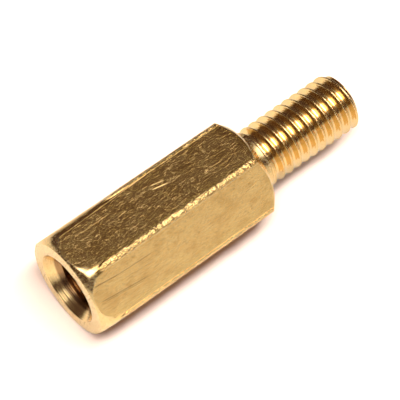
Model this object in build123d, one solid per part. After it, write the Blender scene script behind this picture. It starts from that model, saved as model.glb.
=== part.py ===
from build123d import *
import math
import os

os.makedirs("parts", exist_ok=True)

# Hexagonal body, cut from rounded hexagon bar. The bar's own long edges keep their rounding.
ACROSS_FLATS = 4.75
BODY_LENGTH = 10.0
LONG_EDGE_RADIUS = 0.25

# Turned ends of the body. Each end face is a circle a little inside the flats, with a chamfer round it.
FEMALE_FACE_INSET = 0.06
MALE_FACE_INSET = 0.12
END_CHAMFER_ANGLE = 45.0

# Blind hole in the female end. Its wall is plain, at the size that the tap drill leaves.
TAP_DRILL_DIAMETER = 2.5
MOUTH_DIAMETER = 3.46
MOUTH_ANGLE = 90.0
DRILL_DEPTH = 7.5
DRILL_POINT_ANGLE = 118.0

# Stud on the male end: a plain neck at the shoulder, then the thread, then a chamfered tip.
STUD_LENGTH = 6.0
NECK_DIAMETER = 2.93
NECK_LENGTH = 0.6
TIP_CHAMFER = 0.19

# Right-hand metric thread. Its depth and its crest follow from the pitch.
THREAD_DIAMETER = 2.90
THREAD_PITCH = 0.5
THREAD_ANGLE = 60.0
THREAD_START_ANGLE = 115.0

# How far a cutting or joining solid runs past the surface that it works on.
OVERRUN = 0.5

FLAT_RADIUS = ACROSS_FLATS / 2
CORNER_RADIUS = FLAT_RADIUS / math.cos(math.radians(30))
BORE_RADIUS = TAP_DRILL_DIAMETER / 2
MOUTH_RADIUS = MOUTH_DIAMETER / 2
NECK_RADIUS = NECK_DIAMETER / 2
CREST_RADIUS = THREAD_DIAMETER / 2

# Proportions of the metric thread form: the sharp triangle's height is cut by an eighth at the crest
# and by a quarter at the root.
FLANK_SLOPE = math.tan(math.radians(THREAD_ANGLE / 2))
TRIANGLE_HEIGHT = THREAD_PITCH / 2 / FLANK_SLOPE
THREAD_DEPTH = TRIANGLE_HEIGHT * 5 / 8
CREST_WIDTH = THREAD_PITCH / 8
ROOT_RADIUS = CREST_RADIUS - THREAD_DEPTH


def revolved(points):
    """Solid of revolution about the X axis from (x, radius) points of one half section."""
    outline = Plane.XZ * Polyline(*points, close=True)
    return revolve(make_face(outline), Axis.X)


def hexagon_bar():
    """Bar stock along -X, lying on a flat, with the edges between its flats rounded."""
    section = RegularPolygon(FLAT_RADIUS, 6, major_radius=False)
    section = fillet(section.vertices(), LONG_EDGE_RADIUS)
    return extrude(Plane.YZ * section, -BODY_LENGTH)


def turned_envelope():
    """Round blank with both end chamfers. Where it crosses the flats it leaves curved edges."""
    outer = CORNER_RADIUS + OVERRUN
    female_face = FLAT_RADIUS - FEMALE_FACE_INSET
    male_face = FLAT_RADIUS - MALE_FACE_INSET
    slope = math.tan(math.radians(END_CHAMFER_ANGLE))
    return revolved([
        (-BODY_LENGTH, 0),
        (-BODY_LENGTH, female_face),
        (-BODY_LENGTH + (outer - female_face) * slope, outer),
        (-(outer - male_face) * slope, outer),
        (0, male_face),
        (0, 0),
    ])


def drilled_hole():
    """Blind hole: countersunk mouth, straight drilled wall and conical bottom."""
    half_mouth = math.radians(MOUTH_ANGLE / 2)
    half_point = math.radians(DRILL_POINT_ANGLE / 2)
    flare_radius = MOUTH_RADIUS + OVERRUN * math.tan(half_mouth)
    flare_end = -BODY_LENGTH + (MOUTH_RADIUS - BORE_RADIUS) / math.tan(half_mouth)
    wall_end = -BODY_LENGTH + DRILL_DEPTH
    return revolved([
        (-BODY_LENGTH - OVERRUN, 0),
        (-BODY_LENGTH - OVERRUN, flare_radius),
        (flare_end, BORE_RADIUS),
        (wall_end, BORE_RADIUS),
        (wall_end + BORE_RADIUS / math.tan(half_point), 0),
    ])


def stud_core():
    """Neck and thread root in one turned shape. The neck runs down to the root in a short cone."""
    step = NECK_RADIUS - ROOT_RADIUS
    return revolved([
        (-OVERRUN, 0),
        (-OVERRUN, NECK_RADIUS),
        (NECK_LENGTH, NECK_RADIUS),
        (NECK_LENGTH + step, ROOT_RADIUS),
        (STUD_LENGTH + OVERRUN, ROOT_RADIUS),
        (STUD_LENGTH + OVERRUN, 0),
    ])


def helical_path(start, end):
    """Right-hand helix along +X at the thread's root, drawn as a chain of single turns."""
    turns = math.ceil((end - start) / THREAD_PITCH)
    return Wire([
        Helix(
            THREAD_PITCH,
            THREAD_PITCH,
            ROOT_RADIUS,
            center=(start + turn * THREAD_PITCH, 0, 0),
            direction=(1, 0, 0),
        )
        for turn in range(turns)
    ])


def thread_ridge():
    """The thread's ridge, swept along a helix from inside the neck to past the tip."""
    start = NECK_LENGTH - THREAD_PITCH / 2
    foot_radius = ROOT_RADIUS - THREAD_DEPTH / 8
    half_crest = CREST_WIDTH / 2
    half_foot = half_crest + (CREST_RADIUS - foot_radius) * FLANK_SLOPE
    section_plane = Plane(origin=(start, 0, 0), x_dir=(1, 0, 0), z_dir=(0, -1, 0))
    section = make_face(section_plane * Polyline(
        (-half_foot, foot_radius),
        (-half_crest, CREST_RADIUS),
        (half_crest, CREST_RADIUS),
        (half_foot, foot_radius),
        close=True,
    ))
    path = helical_path(start, STUD_LENGTH + THREAD_PITCH)
    ridge = sweep(section, path=path, is_frenet=True)
    return ridge.rotate(Axis.X, THREAD_START_ANGLE)


def tip_envelope():
    """Everything inside the stud's tip chamfer and end face."""
    outer = NECK_RADIUS + OVERRUN
    tip_radius = CREST_RADIUS - TIP_CHAMFER
    return revolved([
        (-OVERRUN, 0),
        (-OVERRUN, outer),
        (STUD_LENGTH - (outer - tip_radius), outer),
        (STUD_LENGTH, tip_radius),
        (STUD_LENGTH, 0),
    ])


def threaded_stud():
    return (stud_core() + thread_ridge()) & tip_envelope()


def standoff():
    body = hexagon_bar() & turned_envelope()
    return body - drilled_hole() + threaded_stud()


export_step(standoff().solid(), "parts/standoff.step")
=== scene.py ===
import math

import bmesh
import bpy
import numpy as np
from mathutils import Matrix, Vector


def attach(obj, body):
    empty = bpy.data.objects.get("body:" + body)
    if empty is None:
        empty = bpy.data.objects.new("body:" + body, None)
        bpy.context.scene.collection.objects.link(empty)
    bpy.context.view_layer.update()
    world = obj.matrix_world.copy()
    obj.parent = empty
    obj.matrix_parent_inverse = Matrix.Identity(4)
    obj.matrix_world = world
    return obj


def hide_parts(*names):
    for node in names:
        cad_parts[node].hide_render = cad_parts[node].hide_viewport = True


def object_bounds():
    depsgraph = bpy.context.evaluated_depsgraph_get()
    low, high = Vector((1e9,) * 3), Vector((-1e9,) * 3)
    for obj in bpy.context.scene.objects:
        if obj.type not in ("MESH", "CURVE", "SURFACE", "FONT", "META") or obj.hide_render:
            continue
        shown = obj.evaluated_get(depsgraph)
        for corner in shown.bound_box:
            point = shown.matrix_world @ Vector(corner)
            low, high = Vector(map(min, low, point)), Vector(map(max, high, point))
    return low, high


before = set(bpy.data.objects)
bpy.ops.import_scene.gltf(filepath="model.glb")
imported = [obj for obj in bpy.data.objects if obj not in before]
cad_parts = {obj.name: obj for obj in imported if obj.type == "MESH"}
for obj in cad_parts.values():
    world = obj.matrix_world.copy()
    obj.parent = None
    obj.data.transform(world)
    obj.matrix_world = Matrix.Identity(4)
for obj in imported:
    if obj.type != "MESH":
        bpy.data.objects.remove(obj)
cad_low, cad_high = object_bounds()

# Sizes are in millimetres, and MM turns them into the frame's metres.
MM = 0.001

# The body. Its height, its length and the stud's length come from the bounds of the part in model.glb.
FLAT_RADIUS = round(-cad_low[2] / MM, 3)
BODY_LENGTH = round(-cad_low[0] / MM, 3)
STUD_LENGTH = round(cad_high[0] / MM, 3)
LONG_EDGE_RADIUS = 0.25
NEAR_FACE_RADIUS = FLAT_RADIUS - 0.06
FAR_FACE_RADIUS = FLAT_RADIUS - 0.12

# The long edges are rounder where the near chamfer has worn them.
WORN_EDGE_RADIUS = 0.6
WORN_LENGTH = 0.7
WORN_FADE = 0.8

# The upper far edge is worn along more of its length.
HANDLED_EDGE = math.pi / 3
HANDLED_EDGE_RADIUS = 0.75
HANDLED_LENGTH = 7.0

# Small rounds where turned surfaces meet
EDGE_ROUND = 0.02
MOUTH_ROUND = 0.008
SHOULDER_ROUND = 0.03
CHAMFER_ROUND_AT_FLAT = 0.05
CHAMFER_ROUND_AT_CORNER = 0.7

# Distance from the axis at which the near chamfer's round starts to grow, and over which it grows
CHAMFER_GROWS_FROM = 2.43
CHAMFER_GROWS_OVER = 0.17

# The hole, with its thread cut to the depth that shows behind the countersink
MOUTH_RADIUS = 1.73
MOUTH_SLOPE = math.tan(math.radians(30))
BORE_RADIUS = 1.25
BORE_ROOT_RADIUS = 1.47
BORE_THREAD_START = 0.13
BORE_THREAD_ROUND = 0.018
DRILL_DEPTH = 7.5
DRILL_HALF_POINT = math.radians(59)
TAPPED_DEPTH = 6.6
TAP_RUNOUT = 0.35

# The stud and its rolled thread
NECK_RADIUS = 1.465
NECK_LENGTH = 0.6
CREST_RADIUS = 1.45
TIP_RADIUS = 1.26
PITCH = 0.5
FLANK = math.sqrt(3.0)
HALF_CREST = PITCH / 16
HALF_ROOT = PITCH / 8
CREST_ROUND = 0.03
ROOT_ROUND = 0.09

# Angle round the axis, in degrees, at which a crest crosses the shoulder's plane
CREST_ANGLE = 47
CREST_PHASE = PITCH * CREST_ANGLE / 360

# Mesh density. The body's rings lie closer together towards the near end.
CORNER_STEPS = 10
FLAT_STEPS = 20
BODY_RINGS = 26
RING_CROWDING = 1.5
TIP_RING_SHARE = 0.8

# Material slots of the piece
DRAWN, TURNED, THREAD, BORE = range(4)

# Brass as it reflects straight on, and where it is a little tarnished. The last colour is painted shade
# for the wall deep in the hole.
BRASS = (0.91, 0.61, 0.235)
BRASS_DARK = (0.78, 0.49, 0.17)
BRASS_ROLLED = (0.91, 0.64, 0.29)
BRASS_ROLLED_DARK = (0.78, 0.52, 0.21)
BRASS_SCORED = (0.30, 0.17, 0.06)
BRASS_PAINTED_SHADE = (0.38, 0.21, 0.09)

# Distances from the axis between which the torn crust of the long edges grows
CRUST_RADII = (2.645, 2.667)

# Depths below a surface over which its marks fade: for the flats and for the thread's crests
FLAT_BAND = (0.03, 0.01)
CREST_BAND = (0.12, 0.01)

# How a draw line fades in from its first end, and out towards its last
LINE_FADE_IN = (-0.1, 0.2)
LINE_FADE_OUT = 0.4

# Depths inside the hole between which its wall turns darker with painted shade
PAINTED_SHADE_DEPTHS = (0.36, 0.46)

# Viewpoint: where the camera stands round the part, in degrees and millimetres
CAMERA_AZIMUTH = -39.47
CAMERA_ELEVATION = 55.29
CAMERA_ROLL = -0.69
CAMERA_DISTANCE = 81.88
CAMERA_TARGET = (-2.600, -0.1295, 0.0)
CAMERA_FOCAL_SHARE = 1830.4 / 400

# Floor, in millimetres, with how bright the metal mirrors it close to the near end and far from it. This
# is painted light: only in reflections, the floor is brighter near the near end.
FLOOR_HALF_SIZE = 250.0
FLOOR_GAP = 0.002
MIRRORED_DISTANCES = (2.0, 30.0)
MIRRORED_LEVELS = (1.10, 0.60)
FLOOR_BOUNCE = (0.8, 0.76, 0.72)
FLOOR_SHOWN = (1.4, 1.16, 1.06)

# Light that the metal mirrors. Turns are angles round the part's axis in degrees, from level at its
# far side over the top. Four numbers give where a light starts, is full, starts to fade and ends.
LAMP_TURN = (84, 94, 117, 128)
LAMP_ALONG = (-0.65, -0.5, 0.39, 0.46)
LAMP_STRENGTH = 4.5
GLOW_START = 50
GLOW_SPAN = 40
GLOW_POWER = 2.2
GLOW_FADE = (110, 150)
GLOW_STRENGTH = 0.9
ROOM = (0.085, 0.055, 0.045)
FAR_RIM = (0, 9)
NEAR_RIM = (161, 171)
RIM_HEIGHTS = (-0.6, 0.0)
RIM_LEVELS = (1.1, 0.77)

# Light that falls on the floor and makes the shadow
FILL_TURN = (96, 105, 109, 117)
FILL_ALONG = (-0.62, -0.42, 0.3, 0.5)
FILL_STRENGTH = 18.1
FILL_TINT = (1.0, 0.97, 0.94)
FILL_ROOM = (0.25, 0.155, 0.075)


# Shape

def smooth(t):
    t = max(0.0, min(1.0, t))
    return t * t * (3 - 2 * t)


def corner_span(rounding):
    """Half of the angle, seen from the axis, that a rounded long edge takes up."""
    centre = (FLAT_RADIUS - rounding) / math.cos(math.pi / 6)
    return math.atan2(rounding * math.sin(math.pi / 6), centre + rounding * math.cos(math.pi / 6))


def hexagon_reach(angle, rounding):
    """Distance from the axis to the bar's skin, for corners at each sixth of a turn."""
    off = (angle + math.pi / 6) % (math.pi / 3) - math.pi / 6
    if abs(off) >= corner_span(rounding):
        return FLAT_RADIUS / math.cos(math.pi / 6 - abs(off))
    centre = (FLAT_RADIUS - rounding) / math.cos(math.pi / 6)
    return centre * math.cos(off) + math.sqrt(rounding ** 2 - (centre * math.sin(off)) ** 2)


def column_angles():
    """Directions of the mesh columns, close together at the long edges."""
    span = corner_span(LONG_EDGE_RADIUS)
    angles = []
    for corner in range(6):
        middle = math.pi / 3 * corner
        angles += [middle - span + 2 * span * i / CORNER_STEPS for i in range(CORNER_STEPS + 1)]
        for i in range(1, FLAT_STEPS):
            share = 0.5 - 0.5 * math.cos(math.pi * i / FLAT_STEPS)
            angles.append(middle + span + (math.pi / 3 - 2 * span) * share)
    return sorted(a % (2 * math.pi) for a in angles)


def fillet(before, corner, after, radius, steps=3):
    """Points of a small round at a corner in the plane of length and radius."""
    p, c, n = (np.array(v, float) for v in (before, corner, after))
    u = (p - c) / np.linalg.norm(p - c)
    v = (n - c) / np.linalg.norm(n - c)
    half = math.acos(max(-1.0, min(1.0, float(u @ v)))) / 2
    reach = radius / math.tan(half)
    middle = c + (u + v) / np.linalg.norm(u + v) * radius / math.sin(half)
    first = c + u * reach - middle
    last = c + v * reach - middle
    turn = math.atan2(first[0] * last[1] - first[1] * last[0], first @ last)
    points = []
    for i in range(steps + 1):
        cos, sin = math.cos(turn * i / steps), math.sin(turn * i / steps)
        spoke = np.array([first[0] * cos - first[1] * sin, first[0] * sin + first[1] * cos])
        points.append(middle + spoke)
    return points


def mirrored_pitch(side):
    """Half a pitch of points from a crest's middle, completed to the next crest."""
    return side + [np.array([PITCH - p[0], p[1]]) for p in side[-2:0:-1]]


def stud_pitch():
    """One pitch of the stud's thread from crest to crest, as (length, radius)."""
    depth = (PITCH / 2 - HALF_CREST - HALF_ROOT) * FLANK
    crest = (HALF_CREST, CREST_RADIUS)
    root = (PITCH / 2 - HALF_ROOT, CREST_RADIUS - depth)
    root_middle = np.array([PITCH / 2, root[1]])
    side = [np.array([0.0, CREST_RADIUS])] + fillet((0.0, CREST_RADIUS), crest, root, CREST_ROUND)
    foot = fillet(crest, root, root_middle, ROOT_ROUND, 4)
    side += [(side[-1] + foot[0]) / 2] + foot + [root_middle]
    return mirrored_pitch(side)


def hole_pitch():
    """One pitch of the hole's thread from crest to crest, as (length, radius)."""
    crest = (PITCH / 8, BORE_RADIUS)
    root = (crest[0] + (BORE_ROOT_RADIUS - BORE_RADIUS) / FLANK, BORE_ROOT_RADIUS)
    root_middle = np.array([PITCH / 2, BORE_ROOT_RADIUS])
    side = [np.array([0.0, BORE_RADIUS])] + fillet((0, BORE_RADIUS), crest, root, BORE_THREAD_ROUND, 2)
    foot = fillet(crest, root, root_middle, BORE_THREAD_ROUND, 2)
    side += [(side[-1] + foot[0]) / 2] + foot + [root_middle]
    return mirrored_pitch(side)


class Shell:
    """A closed skin made of rings and helical rows, column by column round the axis."""

    def __init__(self, angles):
        self.angles = angles
        self.points = []
        self.faces = []
        self.zones = []

    def point(self, length, radius=0.0, angle=0.0):
        self.points.append((length, radius * math.cos(angle), radius * math.sin(angle)))
        return len(self.points) - 1

    def ring(self, lengths, radii):
        return [self.point(x, r, a) for x, r, a in zip(lengths, radii, self.angles)]

    def level_ring(self, length, radius):
        return self.ring([length] * len(self.angles), [radius] * len(self.angles))

    def face(self, corners, zone):
        distinct = list(dict.fromkeys(corners))
        if len(distinct) > 2:
            self.faces.append(distinct)
            self.zones.append(zone)

    def join(self, a, b, zone):
        for j in range(len(a)):
            k = (j + 1) % len(a)
            self.face((a[j], a[k], b[k], b[j]), zone)

    def cap(self, ring, apex, zone):
        self.join(ring, [apex] * len(ring), zone)

    def helix(self, start, end, phase, profile, limit, zone):
        """A threaded stretch. limit(length, radius) turns the thread's own radius into the one shown."""
        turns = range(math.floor((start - phase) / PITCH) - 2, math.ceil((end - phase) / PITCH) + 1)
        lengths = np.array([phase + turn * PITCH + p[0] for turn in turns for p in profile])
        radii = np.array([p[1] for turn in turns for p in profile])
        own = [lengths + PITCH * a / (2 * math.pi) for a in self.angles]

        def cut_ring(at):
            return self.ring([at] * len(own), [limit(at, np.interp(at, x, radii)) for x in own])

        start_ring = cut_ring(start)
        end_ring = cut_ring(end)
        columns = []
        for j, angle in enumerate(self.angles):
            column = []
            for x, r in zip(own[j], radii):
                if x <= start:
                    column.append(start_ring[j])
                elif x >= end:
                    column.append(end_ring[j])
                else:
                    column.append(self.point(x, limit(x, r), angle))
            columns.append(column)
        # After a full turn the rows are one pitch on, so the last column joins the first that much later.
        columns.append(columns[0][len(profile):])
        for here, there in zip(columns, columns[1:]):
            for i in range(len(there) - 1):
                self.face((here[i], there[i], there[i + 1], here[i + 1]), zone)
        return start_ring, end_ring


def add_hole(shell):
    """The hole from its mouth to the drill point. Gives the ring at the mouth."""
    near = -BODY_LENGTH
    tapped_end = near + TAPPED_DEPTH

    def limit(x, r):
        threaded = BORE_RADIUS + (r - BORE_RADIUS) * smooth((tapped_end - x) / TAP_RUNOUT)
        return max(threaded, MOUTH_RADIUS - (x - near) * MOUTH_SLOPE)

    phase = near + BORE_THREAD_START
    mouth, thread_end = shell.helix(near + MOUTH_ROUND, tapped_end, phase, hole_pitch(), limit, BORE)
    drill_end = shell.level_ring(near + DRILL_DEPTH, BORE_RADIUS)
    shell.join(thread_end, drill_end, BORE)
    shell.cap(drill_end, shell.point(near + DRILL_DEPTH + BORE_RADIUS / math.tan(DRILL_HALF_POINT)), BORE)
    return mouth


def worn_reach(angle, x):
    """The hexagon's reach at a length, rounder at the long edges close to the near end."""
    from_end = x + BODY_LENGTH
    worn = 1 - smooth((from_end - WORN_LENGTH) / WORN_FADE)
    rounding = LONG_EDGE_RADIUS + (WORN_EDGE_RADIUS - LONG_EDGE_RADIUS) * worn
    if HANDLED_EDGE - math.pi / 6 < angle < HANDLED_EDGE + math.pi / 6:
        handled = 1 - smooth(from_end / HANDLED_LENGTH)
        rounding = max(rounding, LONG_EDGE_RADIUS + (HANDLED_EDGE_RADIUS - LONG_EDGE_RADIUS) * handled)
    return hexagon_reach(angle, rounding)


def body_path(angle):
    """Points of one column from the mouth over the body to the neck, as ((length, radius), zone)."""
    near = -BODY_LENGTH
    near_reach = worn_reach(angle, near)
    far_reach = hexagon_reach(angle, LONG_EDGE_RADIUS)
    inside = (near + EDGE_ROUND, MOUTH_RADIUS - EDGE_ROUND * MOUTH_SLOPE)
    mouth = (near, MOUTH_RADIUS)
    near_face = (near, NEAR_FACE_RADIUS)
    near_cut = (near + near_reach - NEAR_FACE_RADIUS, near_reach)
    far_cut = (FAR_FACE_RADIUS - far_reach, far_reach)
    far_face = (0.0, FAR_FACE_RADIUS)
    neck = (0.0, NECK_RADIUS)
    corner_share = smooth((near_reach - CHAMFER_GROWS_FROM) / CHAMFER_GROWS_OVER)
    blend = CHAMFER_ROUND_AT_FLAT + (CHAMFER_ROUND_AT_CORNER - CHAMFER_ROUND_AT_FLAT) * corner_share

    start = fillet(inside, mouth, near_face, MOUTH_ROUND, 2)
    start += [(np.array(mouth) + np.array(near_face)) / 2]
    start += fillet(mouth, near_face, near_cut, EDGE_ROUND)
    start += fillet(near_face, near_cut, (0.0, near_reach), blend, 6)
    end = fillet((-BODY_LENGTH / 2, far_reach), far_cut, far_face, EDGE_ROUND)
    first, last = start[-1][0], end[0][0]
    middle = []
    for i in range(1, BODY_RINGS):
        x = first + (last - first) * (i / BODY_RINGS) ** RING_CROWDING
        middle.append((x, worn_reach(angle, x)))
    finish = end[1:]
    finish += fillet(far_cut, far_face, neck, EDGE_ROUND)
    finish += fillet(far_face, neck, (NECK_LENGTH, NECK_RADIUS), SHOULDER_ROUND)
    finish += [(NECK_LENGTH - EDGE_ROUND, NECK_RADIUS)]
    path = [(p, TURNED) for p in start] + [(p, DRAWN) for p in middle]
    return path + [(end[0], DRAWN)] + [(p, TURNED) for p in finish]


def add_body(shell, mouth):
    """The outer skin from the mouth to the foot of the neck. Gives its last ring."""
    paths = [body_path(angle) for angle in shell.angles]
    previous = mouth
    for row in zip(*paths):
        current = shell.ring([p[0] for p, _ in row], [p[1] for p, _ in row])
        shell.join(current, previous, row[0][1])
        previous = current
    return previous


def add_stud(shell, foot):
    """The neck, the thread and the chamfered tip."""
    def limit(x, r):
        neck_cone = NECK_RADIUS - (x - NECK_LENGTH)
        return min(max(r, neck_cone), TIP_RADIUS + STUD_LENGTH - x)

    neck, tip = shell.helix(NECK_LENGTH, STUD_LENGTH, CREST_PHASE, stud_pitch(), limit, THREAD)
    shell.join(neck, foot, THREAD)
    inside = shell.level_ring(STUD_LENGTH, TIP_RADIUS * TIP_RING_SHARE)
    shell.join(inside, tip, THREAD)
    shell.cap(inside, shell.point(STUD_LENGTH), THREAD)


def make_standoff():
    """The turned part as one closed, finely rounded mesh."""
    shell = Shell(column_angles())
    add_stud(shell, add_body(shell, add_hole(shell)))
    mesh = bpy.data.meshes.new("standoff_turned")
    mesh.from_pydata([tuple(c * MM for c in p) for p in shell.points], [], shell.faces)
    mesh.polygons.foreach_set("material_index", np.array(shell.zones, np.int32))
    mesh.polygons.foreach_set("use_smooth", np.ones(len(shell.faces), bool))
    with_normals = bmesh.new()
    with_normals.from_mesh(mesh)
    bmesh.ops.recalc_face_normals(with_normals, faces=with_normals.faces)
    with_normals.to_mesh(mesh)
    with_normals.free()
    piece = bpy.data.objects.new("standoff_turned", mesh)
    bpy.context.scene.collection.objects.link(piece)
    for material in (drawn_material(), turned_material(), thread_material(), bore_material()):
        mesh.materials.append(material)
    piece.modifiers.new("even_normals", "WEIGHTED_NORMAL").keep_sharp = True
    return piece


# Materials

class Nodes:
    """Short names for building a node tree."""

    def __init__(self, tree):
        self.tree = tree
        tree.nodes.clear()

    def add(self, kind, inputs=None, **settings):
        node = self.tree.nodes.new(kind)
        for key, value in settings.items():
            setattr(node, key, value)
        for key, value in (inputs or {}).items():
            if isinstance(value, bpy.types.NodeSocket):
                self.tree.links.new(value, node.inputs[key])
            else:
                node.inputs[key].default_value = value
        return node

    def math(self, operation, a, b=0.0):
        return self.add("ShaderNodeMath", {0: a, 1: b}, operation=operation).outputs[0]

    def total(self, *parts):
        """Sum of (value, weight) pairs."""
        result = 0.0
        for value, weight in parts:
            terms = {0: value, 1: weight, 2: result}
            result = self.add("ShaderNodeMath", terms, operation="MULTIPLY_ADD").outputs[0]
        return result

    def product(self, *values):
        result = values[0]
        for value in values[1:]:
            result = self.math("MULTIPLY", result, value)
        return result

    def ramp(self, value, low, high, to_low=0.0, to_high=1.0):
        return self.add("ShaderNodeMapRange", {"Value": value, "From Min": low, "From Max": high,
                                               "To Min": to_low, "To Max": to_high},
                        interpolation_type="SMOOTHSTEP").outputs["Result"]

    def window(self, value, edges):
        """One between the second and third edges, fading to nothing at the first and last."""
        rise = self.ramp(value, edges[0], edges[1])
        return self.product(rise, self.ramp(value, edges[2], edges[3], 1.0, 0.0))

    def noise(self, vector, scale, detail=2.0, roughness=0.5):
        """Noise with features of so many per millimetre, in one number or along each axis."""
        if isinstance(scale, tuple):
            vector = self.add("ShaderNodeMapping", {"Vector": vector, "Scale": scale}).outputs["Vector"]
            scale = 1.0
        return self.add("ShaderNodeTexNoise", {"Vector": vector, "Scale": scale, "Detail": detail,
                                               "Roughness": roughness}).outputs["Fac"]

    def mix(self, share, a, b):
        a, b = ((*colour, 1.0) if isinstance(colour, tuple) else colour for colour in (a, b))
        return self.add("ShaderNodeMix", {0: share, 6: a, 7: b}, data_type="RGBA").outputs[2]

    def grey(self, level):
        return self.add("ShaderNodeCombineColor", {0: level, 1: level, 2: level}).outputs[0]

    def tinted(self, colour, level):
        return self.add("ShaderNodeVectorMath", {0: colour, "Scale": level}, operation="SCALE").outputs[0]

    def place(self):
        """The object's own coordinates in millimetres: the vector and its three parts."""
        metres = self.add("ShaderNodeTexCoord").outputs["Object"]
        vector = self.tinted(metres, 1 / MM)
        return (vector, *self.add("ShaderNodeSeparateXYZ", {0: vector}).outputs)

    def radius(self, y, z):
        return self.math("SQRT", self.total((self.product(y, y), 1.0), (self.product(z, z), 1.0)))

    def brass(self, colour, roughness, height):
        """Bare brass with a relief whose height is given in micrometres."""
        bump = self.add("ShaderNodeBump", {"Strength": 1.0, "Distance": MM * MM, "Height": height})
        inputs = {"Base Color": colour, "Metallic": 1.0, "Roughness": roughness}
        inputs["Normal"] = bump.outputs["Normal"]
        shader = self.add("ShaderNodeBsdfPrincipled", inputs)
        self.finish(shader.outputs["BSDF"], "ShaderNodeOutputMaterial")

    def finish(self, socket, kind):
        self.tree.links.new(socket, self.add(kind).inputs["Surface"])


def new_material(name):
    material = bpy.data.materials.new(name)
    material.use_nodes = True
    return material, Nodes(material.node_tree)


# Lines that the draw die and handling left on the two flats in view. Each runs from one length and
# place across the flat to another, with its half width and its depth in micrometres.
SIDE_LINES = (
    (-9.8, -0.785, -8.4, -0.615, 0.028, 5.0),
    (-8.7, -0.630, -6.5, -0.555, 0.022, 4.0),
    (-9.65, 0.04, -7.1, 0.335, 0.028, 5.0),
    (-9.5, 0.13, -7.4, 0.385, 0.022, 4.0),
    (-8.6, -0.30, -6.6, -0.16, 0.016, 1.6),
    (-7.4, 0.60, -5.6, 0.66, 0.016, 1.6),
)
TOP_LINES = (
    (-4.9, 0.35, -3.9, 0.14, 0.022, 6.0),
    (-4.85, 0.57, -4.0, 0.38, 0.016, 5.0),
    (-9.7, 0.97, -4.3, 1.16, 0.030, 6.0),
    (-8.7, 0.55, -7.0, 0.58, 0.010, 3.0),
    (-2.6, -0.35, -1.4, -0.42, 0.012, 3.5),
)


def flat_lines(n, x, out, across, lines):
    """Depth of the lines on the flat whose outward distance is out. across is the place on it."""
    on_flat = n.ramp(out, *(FLAT_RADIUS - below for below in FLAT_BAND))
    depth = 0.0
    for x0, a0, x1, a1, half_width, cut in lines:
        slope = (a1 - a0) / (x1 - x0)
        off = n.math("ABSOLUTE", n.total((across, 1.0), (x, -slope), (1.0, slope * x0 - a0)))
        ends = (*(x0 + fade for fade in LINE_FADE_IN), x1 - LINE_FADE_OUT, x1)
        groove = n.product(n.ramp(off, 0.0, half_width, 1.0, 0.0), n.window(x, ends), on_flat)
        depth = n.total((groove, cut), (depth, 1.0))
    return depth


def drawn_material():
    """Cold drawn flats: fine lengthwise lines, small marks, a torn crust along the long edges."""
    material, n = new_material("brass_drawn")
    mm, x, y, z = n.place()
    edge = n.ramp(n.radius(y, z), *CRUST_RADII)
    streaks = n.noise(mm, (0.9, 26, 26), 3.0, 0.6)
    marks = n.ramp(n.noise(mm, (8, 15, 15), 2.0, 0.6), 0.60, 0.68)
    hairs = n.ramp(n.noise(mm, (1.0, 32, 32), 2.0, 0.6), 0.62, 0.70)
    spots = n.ramp(n.noise(mm, 2.4, 4.0, 0.6), 0.60, 0.68)
    grain = n.noise(mm, (10, 13, 13), 2.0, 0.6)
    waves = n.noise(mm, (0.5, 0.9, 0.9), 2.0)
    torn = n.total((n.noise(mm, (12, 3, 3)), 22.0), (n.noise(mm, (6, 8, 8), 2.0, 0.6), 78.0))
    sin, cos = math.sin(math.pi / 3), math.cos(math.pi / 3)
    side_out = n.total((y, -sin), (z, cos))
    side_across = n.total((y, -cos), (z, -sin))
    side = flat_lines(n, x, side_out, side_across, SIDE_LINES)
    top = flat_lines(n, x, z, y, TOP_LINES)
    height = n.total((streaks, 3.5), (marks, -2.7), (hairs, -2.4), (grain, 4.6), (spots, -1.5),
                     (waves, 20.0), (n.product(torn, edge), 1.0), (side, -1.0), (top, -1.0))
    cloud = n.noise(mm, (1.0, 1.7, 1.7), 4.0, 0.65)
    dark = n.total((n.ramp(cloud, 0.42, 0.64), 0.75), (marks, 0.4), (spots, 0.8))
    colour = n.mix(dark, BRASS, BRASS_DARK)
    specks = n.ramp(n.noise(mm, (8, 11, 11), 3.0, 0.7), 0.53, 0.66)
    colour = n.mix(n.math("MULTIPLY", specks, 0.3), colour, BRASS_SCORED)
    colour = n.mix(n.math("MINIMUM", n.math("MULTIPLY", side, 0.2), 1.0), colour, BRASS_SCORED)
    n.brass(colour, n.ramp(grain, 0.3, 0.7, 0.17, 0.26), height)
    return material


def turned_material():
    """End faces and chamfers: faint rings from the tool."""
    material, n = new_material("brass_turned")
    mm, _, y, z = n.place()
    rings = n.noise(n.add("ShaderNodeCombineXYZ", {0: n.radius(y, z)}).outputs[0], 22.0)
    fine = n.noise(mm, 9.0, 3.0, 0.6)
    height = n.total((rings, 2.0), (fine, 0.7))
    colour = n.mix(n.ramp(fine, 0.45, 0.95), BRASS_ROLLED, BRASS_ROLLED_DARK)
    n.brass(colour, n.ramp(fine, 0.3, 0.7, 0.2, 0.3), height)
    return material


def thread_material():
    """The rolled thread: smooth in the groove, with flow marks along it and bruised crests."""
    material, n = new_material("brass_thread")
    mm, _, y, z = n.place()
    flow = n.noise(mm, (26, 2, 2))
    fine = n.noise(mm, 8.0, 3.0, 0.6)
    crest = n.ramp(n.radius(y, z), *(CREST_RADIUS - below for below in CREST_BAND))
    bruises = n.noise(mm, 6.0, 3.0, 0.6)
    height = n.total((flow, 1.0), (fine, 1.6), (n.product(bruises, crest), 26.0))
    colour = n.mix(n.ramp(fine, 0.45, 0.95), BRASS_ROLLED, BRASS_ROLLED_DARK)
    n.brass(colour, n.ramp(fine, 0.3, 0.7, 0.12, 0.2), height)
    return material


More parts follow.
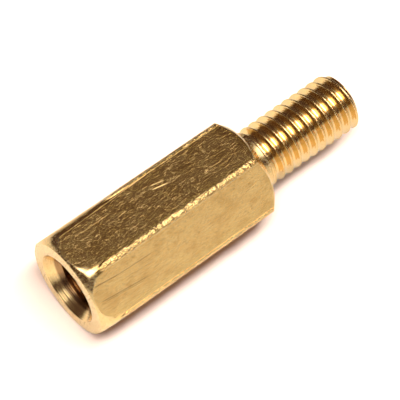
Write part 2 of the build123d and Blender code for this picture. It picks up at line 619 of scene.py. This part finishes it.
def bore_material():
    """The countersink and the tapped wall, with the countersink tool's rings and painted shade deeper in
    the hole.
    """
    material, n = new_material("brass_bore")
    mm, x, _, _ = n.place()
    rings = n.noise(n.add("ShaderNodeCombineXYZ", {0: x}).outputs[0], 16.0, 2.0)
    fine = n.noise(mm, 10.0, 3.0, 0.6)
    height = n.total((rings, 11.0), (fine, 1.5))
    colour = n.mix(n.ramp(fine, 0.4, 0.9), BRASS_ROLLED, BRASS_ROLLED_DARK)
    # Painted shade: the wall turns to a darker brass deeper in the hole.
    painted_shade = n.ramp(x, *(depth - BODY_LENGTH for depth in PAINTED_SHADE_DEPTHS))
    colour = n.mix(painted_shade, colour, BRASS_PAINTED_SHADE)
    n.brass(colour, n.ramp(fine, 0.3, 0.7, 0.13, 0.24), height)
    return material


# Floor, light and camera

def make_floor():
    """A pale floor that carries the soft shadow. In the metal's reflections it carries painted light,
    brighter near the near end and dimmer far away.
    """
    half = FLOOR_HALF_SIZE * MM
    z = -(FLAT_RADIUS + FLOOR_GAP) * MM
    mesh = bpy.data.meshes.new("floor")
    corners = [(-half, -half, z), (half, -half, z), (half, half, z), (-half, half, z)]
    mesh.from_pydata(corners, [], [(0, 1, 2, 3)])
    floor = bpy.data.objects.new("floor", mesh)
    bpy.context.scene.collection.objects.link(floor)
    material, n = new_material("floor_white")
    path = n.add("ShaderNodeLightPath").outputs
    away = n.add("ShaderNodeVectorMath", {0: n.place()[0], 1: (-BODY_LENGTH, 0, 0)}, operation="DISTANCE")
    first = n.math("LESS_THAN", path["Diffuse Depth"], 0.5)
    # Painted light: the floor that the metal mirrors is brighter near the near end than far from it.
    level = n.ramp(away.outputs["Value"], *MIRRORED_DISTANCES, *MIRRORED_LEVELS)
    mirrored = n.grey(n.product(level, first))
    colour = n.mix(path["Is Glossy Ray"], FLOOR_BOUNCE, mirrored)
    shown = n.math("MAXIMUM", path["Is Camera Ray"], path["Is Transmission Ray"])
    colour = n.mix(shown, colour, FLOOR_SHOWN)
    n.finish(n.add("ShaderNodeBsdfDiffuse", {"Color": colour}).outputs[0], "ShaderNodeOutputMaterial")
    mesh.materials.append(material)


def make_world():
    """A dim warm room with a soft lamp overhead and a bright rim, and a soft light for the floor."""
    world = bpy.data.worlds.new("studio")
    bpy.context.scene.world = world
    world.use_nodes = True
    world.cycles.sampling_method = "NONE"
    n = Nodes(world.node_tree)
    direction = n.add("ShaderNodeTexCoord").outputs["Generated"]
    x, y, z = n.add("ShaderNodeSeparateXYZ", {0: direction}).outputs
    turn = n.math("MULTIPLY", n.math("ARCTAN2", z, y), 180 / math.pi)

    along = n.window(x, LAMP_ALONG)
    lamp = n.product(n.window(turn, LAMP_TURN), along)
    rise = n.math("MAXIMUM", n.total((turn, 1 / GLOW_SPAN), (1.0, -GLOW_START / GLOW_SPAN)), 0.0)
    rise = n.math("MINIMUM", n.math("POWER", rise, GLOW_POWER), 1.0)
    glow = n.product(rise, n.ramp(turn, *GLOW_FADE, 1.0, 0.0), along)
    room = n.grey(n.total((lamp, LAMP_STRENGTH), (glow, GLOW_STRENGTH)))
    room = n.add("ShaderNodeVectorMath", {0: room, 1: ROOM}, operation="ADD").outputs[0]
    rim = n.math("MAXIMUM", n.ramp(turn, *FAR_RIM, 1.0, 0.0), n.ramp(turn, *NEAR_RIM))
    seen = n.mix(rim, room, n.grey(n.ramp(z, *RIM_HEIGHTS, *RIM_LEVELS)))

    soft = n.product(n.window(turn, FILL_TURN), n.window(x, FILL_ALONG))
    fill = n.tinted(FILL_TINT, n.math("MULTIPLY", soft, FILL_STRENGTH))
    fill = n.add("ShaderNodeVectorMath", {0: fill, 1: FILL_ROOM}, operation="ADD").outputs[0]

    path = n.add("ShaderNodeLightPath").outputs
    # The metal mirrors the pattern only straight to the camera. Thrown on the floor, it would make spots.
    first = n.math("LESS_THAN", path["Diffuse Depth"], 0.5)
    colour = n.mix(n.product(path["Is Glossy Ray"], first), fill, seen)
    n.finish(n.add("ShaderNodeBackground", {"Color": colour}).outputs[0], "ShaderNodeOutputWorld")


def make_camera():
    azimuth, elevation, roll = (math.radians(v) for v in (CAMERA_AZIMUTH, CAMERA_ELEVATION, CAMERA_ROLL))
    back = Vector((math.sin(azimuth) * math.cos(elevation), -math.cos(azimuth) * math.cos(elevation),
                   math.sin(elevation)))
    level = Vector((0, 0, 1)).cross(back).normalized()
    upright = back.cross(level)
    right = level * math.cos(roll) + upright * math.sin(roll)
    up = upright * math.cos(roll) - level * math.sin(roll)
    data = bpy.data.cameras.new("camera")
    data.sensor_fit = "HORIZONTAL"
    data.lens = data.sensor_width * CAMERA_FOCAL_SHARE
    data.clip_start = MM
    camera = bpy.data.objects.new("camera", data)
    bpy.context.scene.collection.objects.link(camera)
    turned = Matrix((right, up, back)).transposed().to_4x4()
    place = (Vector(CAMERA_TARGET) + back * CAMERA_DISTANCE) * MM
    camera.matrix_world = Matrix.Translation(place) @ turned
    bpy.context.scene.camera = camera


piece = make_standoff()
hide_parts("standoff")
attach(piece, "root")

make_floor()
make_world()
make_camera()
bpy.context.scene.view_settings.view_transform = "Standard"
